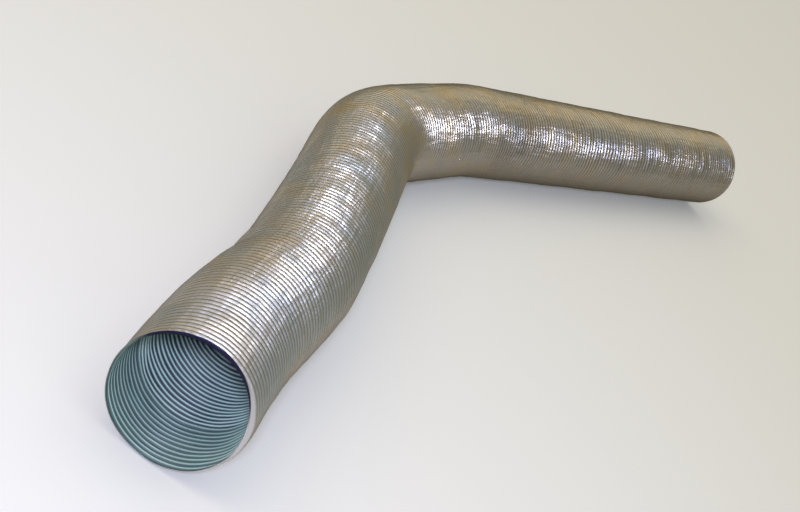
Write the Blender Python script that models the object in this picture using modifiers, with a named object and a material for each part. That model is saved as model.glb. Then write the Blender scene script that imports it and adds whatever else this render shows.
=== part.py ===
"""Flexible air duct, 60 mm across and 800 mm long, lying bent on a flat surface.

The wall is wound from two strips: a ridged aluminium foil outside and a blue-grey lined
paper inside. Both are cut into stiff runs and flexing zones along one centreline, and an
empty at the middle of each flexing zone carries everything beyond it.
"""

import math

import bpy
from mathutils import Matrix, Vector

MM = 0.001

# Length along the centreline, and the wall measured square to it. Radii reach to the
# flats of the facets.
DUCT_LENGTH = 800.0 * MM
OUTSIDE_DIAMETER = 60.0 * MM
RIDGE_HEIGHT = 1.0 * MM
FOIL_THICKNESS = 0.4 * MM
PLY_CLEARANCE = 0.2 * MM
LINER_THICKNESS = 0.5 * MM
RIB_HEIGHT = 0.7 * MM
RIBBED_LENGTH = 24.0 * MM
LINER_INSET = 1.0 * MM
SECTION_CLEARANCE = 0.3 * MM

# Sections from the near mouth to the far end: name, how many ridges it has, and the turn
# to the right that it makes at rest, in degrees.
SECTIONS = (
    ("run_1", 7, 0.0),
    ("flex_1", 14, 6.0),
    ("run_2", 6, 0.0),
    ("flex_2", 15, -8.5),
    ("run_3", 7, 0.0),
    ("flex_3", 15, -1.5),
    ("run_4", 11, 0.0),
    ("flex_4", 19, 27.0),
    ("run_5", 11, 0.0),
    ("flex_5", 15, 10.5),
    ("run_6", 18, 0.0),
    ("flex_6", 16, 0.0),
    ("run_7", 12, 0.0),
    ("flex_7", 16, 0.0),
    ("run_8", 18, 0.0),
)
RIDGE_PITCH = DUCT_LENGTH / sum(ridges for name, ridges, turn in SECTIONS)

# What each flexing zone does: lift bends up and down, swing bends sideways, and stretch
# opens and closes its ridges.
MOTIONS = ("lift", "swing", "lift", "swing", "lift", "stretch", "swing")

SIDES = 14
DEGREES_PER_RING = 5.0
WELD = 0.00001

# Radii to the corners of the facets, from the radii to their flats.
CORNER = 1.0 / math.cos(math.pi / SIDES)
AXIS_HEIGHT = OUTSIDE_DIAMETER / 2
CREST_RADIUS = AXIS_HEIGHT * CORNER
VALLEY_RADIUS = CREST_RADIUS - RIDGE_HEIGHT * CORNER
FOIL_BORE_RADIUS = VALLEY_RADIUS - FOIL_THICKNESS * CORNER
LINER_RADIUS = FOIL_BORE_RADIUS - PLY_CLEARANCE * CORNER
LINER_BORE_RADIUS = LINER_RADIUS - LINER_THICKNESS * CORNER
RIB_RADIUS = LINER_BORE_RADIUS - RIB_HEIGHT * CORNER


def clear_scene():
    for obj in list(bpy.data.objects):
        bpy.data.objects.remove(obj)


def new_collection(name, drawn):
    collection = bpy.data.collections.new(name)
    collection.hide_render = not drawn
    bpy.context.scene.collection.children.link(collection)
    return collection


def new_material(name, colour, roughness, metallic):
    material = bpy.data.materials.new(name)
    material.use_nodes = True
    shader = material.node_tree.nodes["Principled BSDF"]
    shader.inputs["Base Color"].default_value = (*colour, 1.0)
    shader.inputs["Roughness"].default_value = roughness
    shader.inputs["Metallic"].default_value = metallic
    return material


def section_starts():
    """Distance along the centreline from the near mouth to the start of each section."""
    starts = []
    travelled = 0.0
    for name, ridges, turn in SECTIONS:
        starts.append(travelled)
        travelled += ridges * RIDGE_PITCH
    return starts


def heading_at(station):
    """Direction of the centreline in plan, in radians to the right of +Y."""
    heading = 0.0
    for start, (name, ridges, turn) in zip(section_starts(), SECTIONS):
        share = min(max((station - start) / (ridges * RIDGE_PITCH), 0.0), 1.0)
        heading += math.radians(turn) * share * share * (3.0 - 2.0 * share)
    return heading


def centreline_points():
    """Points of the centreline, a ridge apart, with its middle over the origin."""
    points = [Vector((0.0, 0.0, AXIS_HEIGHT))]
    for index in range(round(DUCT_LENGTH / RIDGE_PITCH)):
        heading = heading_at((index + 0.5) * RIDGE_PITCH)
        ahead = Vector((math.sin(heading), math.cos(heading), 0.0))
        points.append(points[-1] + RIDGE_PITCH * ahead)
    edges = []
    for index, point in enumerate(points):
        heading = heading_at(index * RIDGE_PITCH)
        sideways = CREST_RADIUS * Vector((math.cos(heading), -math.sin(heading), 0.0))
        edges += [point + sideways, point - sideways]
    lowest = [min(edge[axis] for edge in edges) for axis in (0, 1)]
    highest = [max(edge[axis] for edge in edges) for axis in (0, 1)]
    middle = Vector(((lowest[0] + highest[0]) / 2, (lowest[1] + highest[1]) / 2, 0.0))
    return [point - middle for point in points]


def centreline_frame(station, points):
    """Place on the centreline: X to the right of the duct, Y along it and Z up."""
    index = min(int(station / RIDGE_PITCH), len(points) - 2)
    share = station / RIDGE_PITCH - index
    place = points[index].lerp(points[index + 1], share)
    return Matrix.Translation(place) @ Matrix.Rotation(-heading_at(station), 4, "Z")


def new_guide(points, helpers):
    """The centreline as a curve that every section is bent along."""
    curve = bpy.data.curves.new("centreline", "CURVE")
    curve.dimensions = "3D"
    curve.twist_mode = "Z_UP"
    spline = curve.splines.new("POLY")
    spline.points.add(len(points) - 1)
    for target, point in zip(spline.points, points):
        target.co = (*point, 1.0)
    guide = bpy.data.objects.new("centreline", curve)
    guide.hide_render = True
    guide.display_type = "WIRE"
    helpers.objects.link(guide)
    return guide


def zigzag(start, length, high, low):
    """Profile points from one high edge to the next, a low one between each pair."""
    ridges = max(1, round(length / RIDGE_PITCH))
    points = []
    for index in range(2 * ridges + 1):
        radius = low if index % 2 else high
        points.append((radius, start + length * index / (2 * ridges)))
    return points


def straight(start, length, radius, pieces):
    return [(radius, start + length * index / pieces) for index in range(pieces + 1)]


def bore_rings(turn):
    """How many pieces a smooth surface needs to follow a section's turn."""
    return max(1, math.ceil(abs(turn) / DEGREES_PER_RING))


def foil_profile(start, length, turn):
    outside = zigzag(start, length, CREST_RADIUS, VALLEY_RADIUS)
    inside = straight(start, length, FOIL_BORE_RADIUS, bore_rings(turn))
    return outside[::-1] + inside


def liner_profile(start, length, turn, ribbed_start, ribbed_end):
    outside = straight(start, length, LINER_RADIUS, bore_rings(turn))
    if ribbed_start:
        inside = zigzag(start, RIBBED_LENGTH, RIB_RADIUS, LINER_BORE_RADIUS)
        inside.append((LINER_BORE_RADIUS, start + length))
    elif ribbed_end:
        inside = [(LINER_BORE_RADIUS, start)]
        inside += zigzag(start + length - RIBBED_LENGTH, RIBBED_LENGTH, RIB_RADIUS, LINER_BORE_RADIUS)
    else:
        inside = straight(start, length, LINER_BORE_RADIUS, bore_rings(turn))
    return outside[::-1] + inside


def new_section(name, profile, material, guide, parts):
    """A turned tube, bent along the centreline. Its profile is a closed loop."""
    mesh = bpy.data.meshes.new(name)
    corners = [(radius, 0.0, station) for radius, station in profile]
    edges = [(index, (index + 1) % len(corners)) for index in range(len(corners))]
    mesh.from_pydata(corners, edges, [])
    mesh.materials.append(material)
    section = bpy.data.objects.new(name, mesh)
    parts.objects.link(section)

    turning = section.modifiers.new("turned", "SCREW")
    turning.axis = "Z"
    turning.steps = SIDES
    turning.render_steps = SIDES
    turning.use_merge_vertices = True
    turning.merge_threshold = WELD
    turning.use_smooth_shade = True

    bending = section.modifiers.new("bent", "CURVE")
    bending.object = guide
    bending.deform_axis = "POS_Z"
    return section


def new_joint(name, frame, parent, parts):
    joint = bpy.data.objects.new(name, None)
    joint.empty_display_type = "ARROWS"
    joint.empty_display_size = CREST_RADIUS
    parts.objects.link(joint)
    attach(joint, parent, frame)
    return joint


def attach(obj, parent, world):
    """Hangs an object on its parent and keeps its place in the world."""
    obj.parent = parent
    obj.matrix_parent_inverse = parent.matrix_world.inverted() if parent else Matrix()
    obj.matrix_world = world
    bpy.context.view_layer.update()


def build():
    clear_scene()
    parts = new_collection("flexible_air_duct", drawn=True)
    helpers = new_collection("guides", drawn=False)
    foil = new_material("aluminium_foil", (0.72, 0.71, 0.69), 0.32, 1.0)
    liner = new_material("blue_grey_liner", (0.14, 0.2, 0.23), 0.45, 0.0)

    points = centreline_points()
    guide = new_guide(points, helpers)
    carrier = None
    flexing = 0
    for start, (name, ridges, turn) in zip(section_starts(), SECTIONS):
        length = ridges * RIDGE_PITCH
        first = start == 0.0
        last = name == SECTIONS[-1][0]
        foil_start = start + (0.0 if first else SECTION_CLEARANCE / 2)
        foil_end = start + length - (0.0 if last else SECTION_CLEARANCE / 2)
        liner_start = foil_start + (LINER_INSET if first else 0.0)
        liner_end = foil_end - (LINER_INSET if last else 0.0)
        foil_loop = foil_profile(foil_start, foil_end - foil_start, turn)
        liner_loop = liner_profile(liner_start, liner_end - liner_start, turn, first, last)
        outer = new_section("foil_" + name, foil_loop, foil, guide, parts)
        inner = new_section("liner_" + name, liner_loop, liner, guide, parts)
        for section in (outer, inner):
            attach(section, carrier, Matrix())
        if name.startswith("flex"):
            frame = centreline_frame(start + length / 2, points)
            motion = MOTIONS[flexing]
            flexing += 1
            carrier = new_joint(f"{motion}_{flexing}", frame, carrier, parts)


build()
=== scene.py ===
"""Looks of the flexible air duct: a fine-ridged aluminium tube with a blue-grey paper lining.

The visible wall is rebuilt from the duct's own sections, ridge by ridge. Each piece stands for
one CAD section; stiff runs ride on their bodies and flexing zones stay baked in their rest shape.
"""

import math

import bpy
import numpy as np
from mathutils import Matrix, Vector


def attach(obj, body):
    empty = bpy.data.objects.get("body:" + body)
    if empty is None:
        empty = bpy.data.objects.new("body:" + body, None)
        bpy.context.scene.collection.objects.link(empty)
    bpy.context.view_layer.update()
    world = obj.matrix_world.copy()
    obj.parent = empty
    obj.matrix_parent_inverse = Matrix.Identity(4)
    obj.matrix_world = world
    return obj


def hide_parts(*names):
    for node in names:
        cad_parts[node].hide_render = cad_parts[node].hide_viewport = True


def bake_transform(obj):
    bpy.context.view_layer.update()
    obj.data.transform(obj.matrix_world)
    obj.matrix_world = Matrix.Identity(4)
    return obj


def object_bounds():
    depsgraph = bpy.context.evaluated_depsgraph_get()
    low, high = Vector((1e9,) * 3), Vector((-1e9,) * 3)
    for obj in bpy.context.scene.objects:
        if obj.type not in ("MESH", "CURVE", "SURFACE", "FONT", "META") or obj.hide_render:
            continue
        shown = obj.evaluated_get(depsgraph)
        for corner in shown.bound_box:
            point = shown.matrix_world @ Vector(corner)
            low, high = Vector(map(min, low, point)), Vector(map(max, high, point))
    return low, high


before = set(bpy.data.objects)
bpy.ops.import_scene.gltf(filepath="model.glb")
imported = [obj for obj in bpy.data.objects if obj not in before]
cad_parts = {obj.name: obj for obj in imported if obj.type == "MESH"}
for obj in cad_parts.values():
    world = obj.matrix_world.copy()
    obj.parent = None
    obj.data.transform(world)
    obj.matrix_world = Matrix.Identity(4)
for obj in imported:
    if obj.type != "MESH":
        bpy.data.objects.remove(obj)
cad_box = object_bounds()

MM = 0.001

# The duct as its CAD source has it: sections from the near mouth to the far end, with their
# lengths in mm and the turn to the right that they make at rest, in degrees.
SECTIONS = (
    ("run_1", 28, 0.0),
    ("flex_1", 56, 6.0),
    ("run_2", 24, 0.0),
    ("flex_2", 60, -8.5),
    ("run_3", 28, 0.0),
    ("flex_3", 60, -1.5),
    ("run_4", 44, 0.0),
    ("flex_4", 76, 27.0),
    ("run_5", 44, 0.0),
    ("flex_5", 60, 10.5),
    ("run_6", 72, 0.0),
    ("flex_6", 64, 0.0),
    ("run_7", 48, 0.0),
    ("flex_7", 64, 0.0),
    ("run_8", 72, 0.0),
)
DUCT_LENGTH = sum(length for name, length, turn in SECTIONS) * MM
OUTSIDE_RADIUS = 30.0 * MM
FACETS = 14

# From ridge to ridge in mm, at places along the duct in mm: packed at the mouth, which was
# never pulled open, pushed together at the elbow and pulled open towards the far end.
PITCHES = (
    (0, 3.0), (100, 3.5), (250, 3.8), (380, 3.0), (430, 3.5), (480, 3.0), (600, 4.0), (800, 4.0),
)
MEAN_PITCH = 3.5 * MM

# The tables along the duct run past both of its ends, so that shifted ridges stay inside them.
MARGIN = 8.0 * MM
LINE_SAMPLES_PER_MM = 4
RIDGE_SAMPLES_PER_MM = 10

# Each side of a ridge is an arc at its crest, a straight flank and an arc in the valley.
FLANK_ANGLE = math.radians(60.0)
FLANK_LENGTH = 0.8 * MM
CREST_SHARE = 0.6
ARCS = (MEAN_PITCH / 2 - FLANK_LENGTH * math.cos(FLANK_ANGLE)) / math.sin(FLANK_ANGLE)
RIDGE_HEIGHT = ARCS * (1.0 - math.cos(FLANK_ANGLE)) + FLANK_LENGTH * math.sin(FLANK_ANGLE)

LINING_GAP = 0.45 * MM
PACKED_LENGTH = 31.5 * MM
DEEPEST_SAG = 1.6
LIP_LENGTH = 3.6 * MM
LIP_DEPTH = 2.4 * MM
QUIET_ENDS = 24 * MM

FOIL_AROUND = 96
LINING_AROUND = 88
ROWS_PER_ARC = 2
ARC_SAMPLES = 24
NORMAL_STEP = 0.01 * MM

# The cut edge's section: how far it stands out of the mouth, and above the foil, in mm.
HEM_PROFILE = (
    (-0.55, 0.02), (-0.2, 0.06), (0.08, 0.03), (0.16, -0.2), (0.08, -0.43), (-0.1, -0.46),
    (-0.12, -0.36), (-0.4, -0.1),
)


def samples(per_mm):
    """Places along the duct and a margin past each end."""
    count = round(per_mm * (DUCT_LENGTH + 2 * MARGIN) / MM) + 1
    return np.linspace(-MARGIN, DUCT_LENGTH + MARGIN, count)


def heading_at(station):
    """Direction of the centreline in plan, in radians to the right of +Y."""
    heading = np.zeros_like(station)
    start = 0.0
    for name, length, turn in SECTIONS:
        share = np.clip((station - start) / (length * MM), 0.0, 1.0)
        heading += math.radians(turn) * share * share * (3.0 - 2.0 * share)
        start += length * MM
    return heading


class Centreline:
    """The duct's centreline, placed so that the duct fills the CAD box."""

    def __init__(self, low, high):
        self.station = samples(LINE_SAMPLES_PER_MM)
        middle = (self.station[1:] + self.station[:-1]) / 2
        heading = heading_at(middle)
        ahead = np.stack([np.sin(heading), np.cos(heading)], 1)
        place = np.vstack([np.zeros((1, 2)), np.cumsum(np.diff(self.station)[:, None] * ahead, 0)])
        heading = heading_at(self.station)
        side_radius = OUTSIDE_RADIUS / math.cos(math.pi / FACETS)
        side = side_radius * np.stack([np.cos(heading), -np.sin(heading)], 1)
        close = 0.001 * MM
        inside = (self.station > -close) & (self.station < DUCT_LENGTH + close)
        reach = np.vstack([(place + side)[inside], (place - side)[inside]])
        middle = np.array([(low.x + high.x) / 2, (low.y + high.y) / 2])
        self.place = place + middle - (reach.min(0) + reach.max(0)) / 2
        self.height = low.z + OUTSIDE_RADIUS

    def point(self, station):
        x = np.interp(station, self.station, self.place[:, 0])
        y = np.interp(station, self.station, self.place[:, 1])
        return np.stack([x, y, np.full_like(x, self.height)], -1)

    def at(self, station, angle, radius):
        """Points round the centreline: angle 0 is the duct's right side and 90 degrees its top."""
        heading = heading_at(station)
        right = np.stack([np.cos(heading), -np.sin(heading), np.zeros_like(heading)], -1)
        across = np.cos(angle)[..., None] * right
        across[..., 2] += np.sin(angle)
        return self.point(station) + radius[..., None] * across


def waves(station, angle, seed, count, longest, shortest, most_turns):
    """Smooth unevenness between about -1 and 1, without a seam round the duct."""
    chance = np.random.default_rng(seed)
    total = np.zeros_like(station)
    for index in range(count):
        length = longest * (shortest / longest) ** chance.random()
        turns = chance.integers(-most_turns, most_turns + 1)
        start = 2 * math.pi * chance.random()
        total += np.sin(2 * math.pi * station / length + turns * angle + start)
    return total / math.sqrt(count)


def turned_from(angle, where):
    """Angle round the duct from a direction, between -180 and 180 degrees."""
    return (np.degrees(angle) - where + 180.0) % 360.0 - 180.0


def bump_at(station, angle, centre, where, length, spread):
    """A smooth hump of height 1 at one place of the wall. Angles are in degrees."""
    off = turned_from(angle, where)
    return np.exp(-(((station - centre) / length) ** 2) - (off / spread) ** 2)


def bump_round(angle, where, spread):
    """The same hump, all along the duct."""
    return np.exp(-((turned_from(angle, where) / spread) ** 2))


def bump_along(station, centre, length):
    """The same hump, all round the duct."""
    return np.exp(-(((station - centre) / length) ** 2))


def ridge_table():
    """Places along the duct, and the number of ridges passed by each of them."""
    places, pitches = np.array(PITCHES).T * MM
    station = samples(RIDGE_SAMPLES_PER_MM)
    density = 1.0 / np.interp(station, places, pitches)
    passed = np.cumsum((density[1:] + density[:-1]) / 2) * (station[1] - station[0])
    passed = np.concatenate([[0.0], passed])
    return station, passed - np.interp(0.0, station, passed)


TABLE = ridge_table()


def ridges_passed(station):
    return np.interp(station, *TABLE)


def half_ridge(steps):
    """From a crest to the next valley: share of the pitch passed, and depth under the crest."""
    slopes = np.linspace(0.0, FLANK_ANGLE, steps + 1)
    crest, valley = CREST_SHARE * ARCS, (1.0 - CREST_SHARE) * ARCS
    place = np.concatenate([
        crest * np.sin(slopes),
        MEAN_PITCH / 2 - valley * np.sin(slopes[::-1]),
    ])
    depth = np.concatenate([
        crest * (1.0 - np.cos(slopes)),
        RIDGE_HEIGHT - valley * (1.0 - np.cos(slopes[::-1])),
    ])
    return place / MEAN_PITCH, depth


def ridge_depth(station):
    """How far the ridged surface lies under its crests."""
    off = np.abs((ridges_passed(station) + 0.5) % 1.0 - 0.5)
    return np.interp(off, *half_ridge(ARC_SAMPLES))


def all_rows():
    """Places along the whole duct, equally spaced in slope on each ridge."""
    half, depth = half_ridge(ROWS_PER_ARC)
    ridge = np.concatenate([half, 1.0 - half[1:-1][::-1]])
    station, passed = TABLE
    count = int(np.interp(DUCT_LENGTH, station, passed)) + 1
    rows = np.concatenate([index + ridge for index in range(count + 1)])
    rows = np.interp(rows, passed, station)
    return rows[rows < DUCT_LENGTH + 0.2 * MM]


def shifted(station, angle):
    """The ridges wander a little along the duct, but not at its two ends."""
    from_end = np.minimum(station, DUCT_LENGTH - station)
    fade = np.clip(from_end / QUIET_ENDS, 0.0, 1.0)
    wander = 0.28 * waves(station, angle, 3, 14, 220 * MM, 40 * MM, 4)
    jitter = 0.13 * waves(station, angle, 4, 10, 30 * MM, 11 * MM, 9)
    return station + fade * (wander + jitter) * MM


def wall_sag(station, angle):
    """How far the crests lie under the full radius: dents, flats and the crease of the bend."""
    sag = 0.16 * (1.0 + waves(station, angle, 9, 12, 260 * MM, 50 * MM, 5))
    sag += 0.05 * (1.0 + waves(station, angle, 12, 12, 40 * MM, 14 * MM, 11))
    sag += 0.03 * (1.0 + waves(station, angle, 15, 16, 30 * MM, 7 * MM, 30))
    sag += 1.0 * bump_at(station, angle, 114 * MM, 158.0, 9 * MM, 32.0)
    return np.clip(sag, 0.0, DEEPEST_SAG) * MM


def lip(station, angle):
    """The cut edge of the near mouth is pressed in on the duct's right side."""
    share = np.clip(1.0 - station / LIP_LENGTH, 0.0, 1.0)
    return LIP_DEPTH * share * bump_round(angle, 12.0, 42.0)


def foil_radius(station, angle):
    """Radius of the foil. Its ridges are flatter where the duct was never pulled open, most of
    all on its left, and on the inside of the elbow."""
    packed = np.clip((PACKED_LENGTH - station) / (0.5 * MM), 0.0, 1.0)
    left = bump_round(angle, 178.0, 42.0)
    height = 1.0 + 0.10 * waves(station, angle, 5, 14, 120 * MM, 9 * MM, 8)
    height = np.clip(height, 0.75, 1.2) * (1.0 - packed * (0.12 + 0.6 * left))
    height *= 1.0 - np.clip(lip(station, angle) / (0.8 * MM), 0.0, 1.0)
    height *= 1.0 - 0.16 * bump_along(station, 328 * MM, 42 * MM)
    height *= 1.0 - 0.6 * bump_at(station, angle, 312 * MM, 30.0, 36 * MM, 42.0)
    sunk = wall_sag(station, angle) + lip(station, angle)
    return OUTSIDE_RADIUS - sunk - height * ridge_depth(station)


def lining_radius(station, angle):
    return foil_radius(station, angle) - LINING_GAP


def tube_piece(name, line, rows, around, radius, outward, material):
    """A piece of tube with the true surface's own normals."""
    angles = np.linspace(0.0, 2 * math.pi, around, endpoint=False)
    station, angle = np.meshgrid(rows, angles, indexing="ij")
    depth = radius(station, angle)
    points = line.at(shifted(station, angle), angle, depth)

    near, far = station - NORMAL_STEP, station + NORMAL_STEP
    along = line.at(shifted(far, angle), angle, radius(far, angle))
    along -= line.at(shifted(near, angle), angle, radius(near, angle))
    across = np.roll(points, -1, 1) - np.roll(points, 1, 1)
    normals = np.cross(along, across) if outward else np.cross(across, along)
    normals /= np.linalg.norm(normals, axis=-1, keepdims=True)

    i, j = np.meshgrid(np.arange(len(points) - 1), np.arange(around), indexing="ij")
    k = (j + 1) % around
    corners = [i * around + j, (i + 1) * around + j, (i + 1) * around + k, i * around + k]
    faces = np.stack(corners if outward else corners[::-1], -1).reshape(-1, 4)

    # The same place on a straight duct with even ridges, for the patterns.
    along = MEAN_PITCH * ridges_passed(station)
    flat = np.stack([depth * np.cos(angle), depth * np.sin(angle), along], -1)
    piece = new_piece(name, points, faces, flat, material)
    piece.data.normals_split_custom_set_from_vertices(normals.reshape(-1, 3))
    return piece


def hem_piece(name, line, station, outward, radius, material):
    """The bright cut edge of one mouth: a thin ring folded over the foil and the lining."""
    profile = np.array(HEM_PROFILE) * MM
    angles = np.linspace(0.0, 2 * math.pi, FOIL_AROUND, endpoint=False)
    away, angle = np.meshgrid(profile[:, 0], angles, indexing="ij")
    lift = np.repeat(profile[:, 1:], FOIL_AROUND, 1)
    edge = np.full_like(angle, station)
    # At the top of the mouth the inner side of the edge reaches deeper, to carry a painted shadow.
    lift -= 1.0 * MM * (lift < -0.4 * MM) * bump_round(angle, 97.0, 48.0)
    depth = radius(edge, angle) + lift
    ragged = 0.18 * MM * waves(edge, angle, 21, 10, 1.0, 0.5, 9)
    place = edge + outward * (away + ragged * (away > -0.2 * MM))
    points = line.at(place, angle, depth)
    count = len(profile)
    i, j = np.meshgrid(np.arange(count), np.arange(FOIL_AROUND), indexing="ij")
    h, k = (i + 1) % count, (j + 1) % FOIL_AROUND
    corners = [i * FOIL_AROUND + j, i * FOIL_AROUND + k, h * FOIL_AROUND + k, h * FOIL_AROUND + j]
    faces = np.stack(corners if outward < 0 else corners[::-1], -1).reshape(-1, 4)
    along = MEAN_PITCH * np.round(ridges_passed(place))
    flat = np.stack([depth * np.cos(angle), depth * np.sin(angle), along], -1)
    return new_piece(name, points, faces, flat, material)


def new_piece(name, points, faces, flat, material):
    mesh = bpy.data.meshes.new(name)
    mesh.from_pydata(points.reshape(-1, 3).tolist(), [], faces.tolist())
    mesh.polygons.foreach_set("use_smooth", np.ones(len(faces), bool))
    straight = mesh.attributes.new("straight", "FLOAT_VECTOR", "POINT")
    straight.data.foreach_set("vector", flat.reshape(-1).astype(np.float32))
    mesh.materials.append(material)
    piece = bpy.data.objects.new(name, mesh)
    bpy.context.scene.collection.objects.link(piece)
    return piece


def build_duct(line, foil, lining, edge):
    runs = [name for name, length, turn in SECTIONS if name.startswith("run")]
    rows = all_rows()
    ends = np.cumsum([0] + [length for name, length, turn in SECTIONS]) * MM
    breaks = [int(np.abs(rows - end).argmin()) for end in ends]
    for index, (name, length, turn) in enumerate(SECTIONS):
        first, last = breaks[index], breaks[index + 1]
        made = []
        for node, around, radius, outward, material in (
            ("foil", FOIL_AROUND, foil_radius, True, foil),
            ("liner", LINING_AROUND, lining_radius, False, lining),
        ):
            own = rows[first:last + 1]
            piece = tube_piece(f"duct_{node}_{name}", line, own, around, radius, outward, material)
            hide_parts(f"{node}_{name}")
            made.append(piece)
        for piece in made:
            if name in runs:
                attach(piece, name)
            else:
                start, end = line.point(rows[[first, last]])
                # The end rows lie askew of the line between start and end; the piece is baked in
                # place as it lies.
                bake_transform(piece)

    for name, station, outward, body in (
        ("near_hem", rows[0], -1.0, runs[0]),
        ("far_hem", rows[-1], 1.0, runs[-1]),
    ):
        hem = hem_piece(name, line, station, outward, foil_radius, edge)
        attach(hem, body)


class Nodes:
    """Short ways to add and join shader nodes."""

    def __init__(self, material):
        self.tree = material.node_tree
        self.shader = self.tree.nodes["Principled BSDF"]

    def join(self, source, target):
        self.tree.links.new(source, target)

    def put(self, socket, value):
        if isinstance(value, bpy.types.NodeSocket):
            self.join(value, socket)
        else:
            socket.default_value = value

    def straight(self):
        node = self.tree.nodes.new("ShaderNodeAttribute")
        node.attribute_name = "straight"
        return node.outputs["Vector"]

    def math(self, operation, first, second=0.0, clamp=False):
        node = self.tree.nodes.new("ShaderNodeMath")
        node.operation = operation
        node.use_clamp = clamp
        self.put(node.inputs[0], first)
        self.put(node.inputs[1], second)
        return node.outputs[0]

    def part(self, vector, axis):
        node = self.tree.nodes.new("ShaderNodeSeparateXYZ")
        self.join(vector, node.inputs[0])
        return node.outputs[axis]

    def stretched(self, vector, scale):
        node = self.tree.nodes.new("ShaderNodeVectorMath")
        node.operation = "MULTIPLY"
        self.join(vector, node.inputs[0])
        node.inputs[1].default_value = scale
        return node.outputs[0]

    def noise(self, vector, scale, detail=3.0, roughness=0.5):
        node = self.tree.nodes.new("ShaderNodeTexNoise")
        self.join(vector, node.inputs["Vector"])
        node.inputs["Scale"].default_value = scale
        node.inputs["Detail"].default_value = detail
        node.inputs["Roughness"].default_value = roughness
        return node.outputs["Fac"]

    def ramp(self, value, low, high, bottom=0.0, top=1.0):
        node = self.tree.nodes.new("ShaderNodeMapRange")
        self.put(node.inputs["Value"], value)
        node.inputs["From Min"].default_value = low
        node.inputs["From Max"].default_value = high
        node.inputs["To Min"].default_value = bottom
        node.inputs["To Max"].default_value = top
        return node.outputs["Result"]

    def mix(self, share, first, second):
        node = self.tree.nodes.new("ShaderNodeMix")
        node.data_type = "RGBA"
        self.put(node.inputs["Factor"], share)
        self.put(node.inputs[6], first)
        self.put(node.inputs[7], second)
        return node.outputs[2]

    def bump(self, height, distance):
        node = self.tree.nodes.new("ShaderNodeBump")
        node.inputs["Strength"].default_value = 1.0
        node.inputs["Distance"].default_value = distance
        self.join(height, node.inputs["Height"])
        return node.outputs["Normal"]

    def groove(self, vector):
        """1 at the bottom of each valley and 0 at each crest."""
        ridge = self.math("MULTIPLY", self.part(vector, 2), 1.0 / MEAN_PITCH)
        turned = self.math("FRACT", ridge)
        off = self.math("ABSOLUTE", self.math("SUBTRACT", turned, 0.5))
        return self.math("SUBTRACT", 1.0, self.math("MULTIPLY", off, 2.0))


def new_material(name):
    material = bpy.data.materials.new(name)
    material.use_nodes = True
    return material, Nodes(material)


FOIL_COOL = (0.42, 0.435, 0.43, 1)
FOIL_PLAIN = (0.47, 0.445, 0.405, 1)
# Gold tarnish, partly a painted warm reflection.
FOIL_GOLD_TARNISH_AND_REFLECTION = (0.52, 0.435, 0.3, 1)
FOIL_DULL = (0.35, 0.34, 0.31, 1)
# Painted cool reflection on the upper right of the near run.
FOIL_TEAL_REFLECTION = (0.4, 0.435, 0.44, 1)
# Painted shade for the far run's weaker light.
FOIL_FAR_SHADE = (0.33, 0.29, 0.22, 1)
# Painted shade on the underside.
FOIL_UNDERSIDE_SHADE = (0.215, 0.18, 0.13, 1)
# Painted shade in the foil's valleys, near the mouth and far along the duct.
VALLEY_SHADE_NEAR = (0.2, 0.18, 0.23, 1)
VALLEY_SHADE_FAR = (0.09, 0.09, 0.13, 1)
TORN_FOIL = (0.8, 0.79, 0.82, 1)

EDGE_GREY = (0.2, 0.24, 0.24, 1)
EDGE_SHADED = (0.5, 0.48, 0.48, 1)
EDGE_PALE = (0.8, 0.77, 0.79, 1)
# Painted shadow at the top of the cut edge.
EDGE_SHADOW_NAVY = (0.015, 0.013, 0.05, 1)

PAPER_DEEP = (0.125, 0.25, 0.225, 1)
PAPER_LIGHT = (0.16, 0.285, 0.255, 1)
PAPER_WORN = (0.29, 0.43, 0.4, 1)
# Painted shade on the lining near the mouth.
PAPER_MOUTH_SHADE = (0.05, 0.11, 0.1, 1)
# Painted highlight on the lining's rib shoulders.
PAPER_SHOULDER_HIGHLIGHT = (0.63, 0.82, 0.8, 1)
# Painted shade in the gaps between the lining's ribs.
PAPER_GAP_SHADE = (0.02, 0.025, 0.055, 1)


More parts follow.
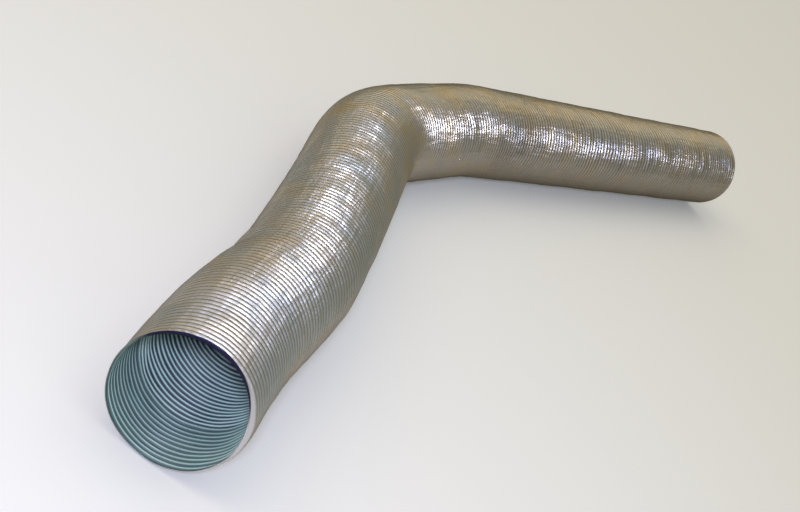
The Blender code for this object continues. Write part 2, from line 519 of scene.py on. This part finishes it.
def foil_material():
    material, nodes = new_material("aluminium_foil")
    shader = nodes.shader
    shader.inputs["Metallic"].default_value = 1.0
    shader.inputs["Specular Tint"].default_value = (0.3, 0.26, 0.2, 1)
    place = nodes.straight()
    side, height, along = (nodes.part(place, axis) for axis in range(3))
    groove = nodes.groove(place)

    # Cool and plain patches, golden ones that grow stronger along the duct and are partly tarnish,
    # partly a painted warm reflection, and dull marks.
    patches = nodes.noise(place, 38.0, 4.0, 0.6)
    cool = nodes.mix(nodes.ramp(patches, 0.36, 0.5), FOIL_COOL, FOIL_PLAIN)
    # Golden patches: partly tarnish, partly a painted warm reflection.
    gold = nodes.ramp(along, 170.0 * MM, 300.0 * MM, 0.45, 1.0)
    gold = nodes.math("MULTIPLY", nodes.ramp(patches, 0.5, 0.66), gold)
    warm = nodes.mix(gold, cool, FOIL_GOLD_TARNISH_AND_REFLECTION)
    dull = nodes.noise(nodes.stretched(place, (1.0, 1.0, 3.0)), 160.0, 5.0, 0.65)
    tone = nodes.mix(nodes.ramp(dull, 0.35, 0.7, 0.0, 0.35), warm, FOIL_DULL)

    # The upper right of the near run is painted teal, a painted cool reflection; the far run is
    # painted browner and darker, a painted shade for its weaker light; and the underside is painted
    # darker, a painted shade.
    # Painted cool reflection: teal on the near run's upper right.
    right = nodes.math(
        "MULTIPLY", nodes.ramp(height, 7.0 * MM, 15.0 * MM), nodes.ramp(side, 8.0 * MM, 18.0 * MM)
    )
    right = nodes.math("MULTIPLY", right, nodes.ramp(along, 170.0 * MM, 260.0 * MM, 0.7, 0.0))
    tone = nodes.mix(right, tone, FOIL_TEAL_REFLECTION)
    # The far run is painted browner and darker, a painted shade for its weaker light.
    far = nodes.ramp(along, 330.0 * MM, 420.0 * MM)
    tone = nodes.mix(nodes.math("MULTIPLY", far, 0.3), tone, FOIL_FAR_SHADE)
    # The underside is painted darker, a painted shade.
    underside_shade = nodes.ramp(height, -16.0 * MM, 14.0 * MM, 0.85, 0.0)
    tone = nodes.mix(underside_shade, tone, FOIL_UNDERSIDE_SHADE)

    # The valleys are painted dark, a painted shade that grows stronger farther from the near mouth.
    wide = nodes.math("ADD", groove, nodes.math("MULTIPLY", far, 0.12))
    valley_shade = nodes.math(
        "MULTIPLY", nodes.ramp(wide, 0.62, 0.88), nodes.ramp(along, 40.0 * MM, 200.0 * MM, 0.15, 0.85)
    )
    valley = nodes.mix(valley_shade, tone, nodes.mix(far, VALLEY_SHADE_NEAR, VALLEY_SHADE_FAR))

    # The pressed lip shows the paler, torn edge of the foil.
    torn = nodes.math(
        "MULTIPLY",
        nodes.ramp(along, 2.4 * MM, 3.6 * MM, 1.0, 0.0),
        nodes.ramp(side, 8.0 * MM, 20.0 * MM),
    )
    nodes.join(nodes.mix(torn, valley, TORN_FOIL), shader.inputs["Base Color"])

    rough = nodes.ramp(dull, 0.3, 0.75, 0.3, 0.44)
    rough = nodes.math("ADD", rough, nodes.ramp(groove, 0.6, 1.0, 0.0, 0.1))
    rough = nodes.math("SUBTRACT", rough, nodes.math("MULTIPLY", far, 0.06))
    rough = nodes.math("ADD", rough, nodes.ramp(along, 50.0 * MM, 150.0 * MM, 0.1, 0.0))
    rough = nodes.math("ADD", rough, nodes.math("MULTIPLY", torn, 0.3))
    nodes.join(rough, shader.inputs["Roughness"])

    grain = nodes.noise(nodes.stretched(place, (1.0, 1.0, 2.0)), 900.0, 3.0, 0.6)
    creases = nodes.noise(nodes.stretched(place, (1.0, 1.0, 0.14)), 300.0, 2.0, 0.5)
    relief = nodes.math("ADD", nodes.math("MULTIPLY", grain, 0.12), creases)
    nodes.join(nodes.bump(relief, 0.34 * MM), shader.inputs["Normal"])
    return material


def edge_material():
    material, nodes = new_material("cut_foil_edge")
    shader = nodes.shader
    shader.inputs["Metallic"].default_value = 1.0
    place = nodes.straight()
    marks = nodes.noise(place, 600.0, 3.0, 0.6)
    pale = nodes.mix(marks, EDGE_SHADED, EDGE_PALE)
    right = nodes.ramp(nodes.part(place, 0), 4.0 * MM, 20.0 * MM)
    bright = nodes.mix(right, EDGE_GREY, pale)
    # The top of the edge is painted dark navy, a painted shadow.
    top = nodes.ramp(nodes.part(place, 1), 8.0 * MM, 17.0 * MM, 0.0, 0.97)
    nodes.join(nodes.mix(top, bright, EDGE_SHADOW_NAVY), shader.inputs["Base Color"])
    nodes.join(nodes.ramp(marks, 0.3, 0.7, 0.3, 0.5), shader.inputs["Roughness"])
    nodes.join(nodes.bump(marks, 0.1 * MM), shader.inputs["Normal"])
    return material


def lining_material():
    material, nodes = new_material("blue_grey_paper")
    shader = nodes.shader
    shader.inputs["Specular IOR Level"].default_value = 0.5
    place = nodes.straight()
    groove = nodes.groove(place)

    fibres = nodes.noise(nodes.stretched(place, (1.0, 1.0, 4.0)), 420.0, 5.0, 0.65)
    clouds = nodes.noise(place, 45.0, 3.0, 0.5)
    base = nodes.mix(nodes.ramp(clouds, 0.35, 0.65), PAPER_DEEP, PAPER_LIGHT)
    worn = nodes.mix(nodes.ramp(fibres, 0.35, 0.7, 0.0, 0.35), base, PAPER_WORN)

    # The lining's first 36 mm from the near mouth is painted darker, a painted shade, and its painted
    # shoulder highlights and gap shade show less there.
    away = nodes.ramp(nodes.part(place, 2), 36.0 * MM, 38.0 * MM)
    pulled = nodes.ramp(away, 0.0, 1.0, 0.55, 1.0)
    # The first 36 mm of the lining are painted darker, a painted shade.
    worn = nodes.mix(away, nodes.mix(0.3, worn, PAPER_MOUTH_SHADE), worn)
    # The rib shoulders are painted pale, a painted highlight.
    shoulder = nodes.math("SUBTRACT", nodes.ramp(groove, 0.58, 0.68), nodes.ramp(groove, 0.76, 0.9))
    shoulder_highlight = nodes.mix(nodes.math("MULTIPLY", shoulder, pulled), worn, PAPER_SHOULDER_HIGHLIGHT)
    # The gaps between the ribs are painted dark, a painted shade.
    gap_shade = nodes.math("MULTIPLY", nodes.ramp(groove, 0.5, 0.6, 0.9, 0.0), pulled)
    dark = nodes.mix(gap_shade, shoulder_highlight, PAPER_GAP_SHADE)
    nodes.join(dark, shader.inputs["Base Color"])
    nodes.join(nodes.ramp(fibres, 0.3, 0.7, 0.38, 0.55), shader.inputs["Roughness"])
    nodes.join(nodes.bump(fibres, 0.06 * MM), shader.inputs["Normal"])
    return material


# The photograph's camera: lens and sensor in mm, heading to the right of +Y, pitch down and
# roll, and its place from the middle of the near mouth.
SENSOR_WIDTH = 36.0
CAMERA_LENS = 67.36
CAMERA_HEADING = math.radians(3.88)
CAMERA_PITCH = math.radians(24.37)
CAMERA_ROLL = math.radians(-38.04)
CAMERA_FROM_MOUTH = Vector((-1.1, -475.3, 318.9)) * MM

# The flash stands behind the camera as seen from the mouth, a little to its upper left.
FLASH_REACH = 1.75
FLASH_OFFSET = (-0.02, 0.03, 0)
FLASH_AIM = 1.25
FLASH_CONE = math.radians(56.0)
FLASH_RADIUS = 0.065
FLASH_POWER = 28.0
FLASH_COLOUR = (0.68, 0.73, 1.0)

# The soft panels above the duct, all aimed at the origin: place, watts and colour.
PANEL_WIDTH = 3.2
PANELS = (
    ("warm_sky", (-2.9, -1.24, 3.68), 36.0, (1.0, 0.8, 0.5)),
    ("back_sky", (0.0, 2.88, 3.68), 6.0, (1.0, 0.85, 0.7)),
    ("top_sky", (0.0, 0.0, 3.6), 12.0, (0.92, 1.0, 0.94)),
)
WORLD_COLOUR = (0.38, 0.36, 0.285, 1)

FLOOR_HALF_WIDTH = 15.0
FLOOR_CLEARANCE = 0.2 * MM
FLOOR_COLOUR = (0.9, 0.9, 0.93, 1)
FLOOR_GLOW = 0.15
FLOOR_GLOW_COLOUR = (0.9, 0.95, 1.0, 1)


def add_camera(line):
    camera = bpy.data.objects.new("camera", bpy.data.cameras.new("camera"))
    bpy.context.scene.collection.objects.link(camera)
    camera.data.sensor_width = SENSOR_WIDTH
    camera.data.lens = CAMERA_LENS
    camera.data.clip_start = 0.01
    level = Vector((math.cos(CAMERA_HEADING), -math.sin(CAMERA_HEADING), 0.0))
    ahead = Vector((math.sin(CAMERA_HEADING), math.cos(CAMERA_HEADING), 0.0))
    forward = math.cos(CAMERA_PITCH) * ahead - math.sin(CAMERA_PITCH) * Vector((0, 0, 1))
    down = forward.cross(level)
    right = math.cos(CAMERA_ROLL) * level + math.sin(CAMERA_ROLL) * down
    below = math.cos(CAMERA_ROLL) * down - math.sin(CAMERA_ROLL) * level
    place = Matrix((right, -below, -forward)).transposed().to_4x4()
    place.translation = Vector(line.point(np.array(0.0))) + CAMERA_FROM_MOUTH
    camera.matrix_world = place
    bpy.context.scene.camera = camera
    return camera


def add_flash(line, camera):
    mouth = Vector(line.point(np.array(0.0)))
    to_camera = camera.matrix_world.translation - mouth
    place = mouth + FLASH_REACH * to_camera
    place += camera.matrix_world.to_3x3() @ Vector(FLASH_OFFSET)
    lamp = bpy.data.lights.new("flash", "SPOT")
    lamp.shadow_soft_size = FLASH_RADIUS
    lamp.spot_size = FLASH_CONE
    lamp.spot_blend = 1.0
    add_lamp("flash", lamp, place, FLASH_AIM * mouth, FLASH_POWER, FLASH_COLOUR)


def add_panels():
    for name, place, power, colour in PANELS:
        lamp = bpy.data.lights.new(name, "AREA")
        lamp.size = PANEL_WIDTH
        add_lamp(name, lamp, place, (0, 0, 0), power, colour)


def add_lamp(name, lamp, place, aim, power, colour):
    lamp.energy = power
    lamp.color = colour
    holder = bpy.data.objects.new(name, lamp)
    bpy.context.scene.collection.objects.link(holder)
    holder.location = place
    holder.rotation_euler = (Vector(aim) - Vector(place)).to_track_quat("-Z", "Y").to_euler()


def add_world():
    world = bpy.data.worlds.new("studio")
    bpy.context.scene.world = world
    world.use_nodes = True
    air = world.node_tree.nodes["Background"]
    air.inputs["Color"].default_value = WORLD_COLOUR
    air.inputs["Strength"].default_value = 1.0


def add_floor(low):
    half = FLOOR_HALF_WIDTH
    mesh = bpy.data.meshes.new("floor")
    corners = [(-half, -half, 0), (half, -half, 0), (half, half, 0), (-half, half, 0)]
    mesh.from_pydata(corners, [], [(0, 1, 2, 3)])
    floor = bpy.data.objects.new("floor", mesh)
    floor.location = (0.0, 0.0, low.z - FLOOR_CLEARANCE)
    bpy.context.scene.collection.objects.link(floor)
    material, nodes = new_material("pale_floor")
    nodes.shader.inputs["Base Color"].default_value = FLOOR_COLOUR
    nodes.shader.inputs["Roughness"].default_value = 0.95
    nodes.shader.inputs["Emission Color"].default_value = FLOOR_GLOW_COLOUR
    rays = nodes.tree.nodes.new("ShaderNodeLightPath").outputs
    seen = nodes.math("ADD", rays["Is Camera Ray"], rays["Is Glossy Ray"])
    seen = nodes.math("ADD", seen, rays["Is Transmission Ray"], clamp=True)
    glow = nodes.math("MULTIPLY", seen, FLOOR_GLOW)
    nodes.join(glow, nodes.shader.inputs["Emission Strength"])
    mesh.materials.append(material)


low, high = cad_box
line = Centreline(low, high)
build_duct(line, foil_material(), lining_material(), edge_material())
camera = add_camera(line)
add_world()
add_floor(low)
add_flash(line, camera)
add_panels()

scene = bpy.context.scene
scene.view_settings.view_transform = "Standard"
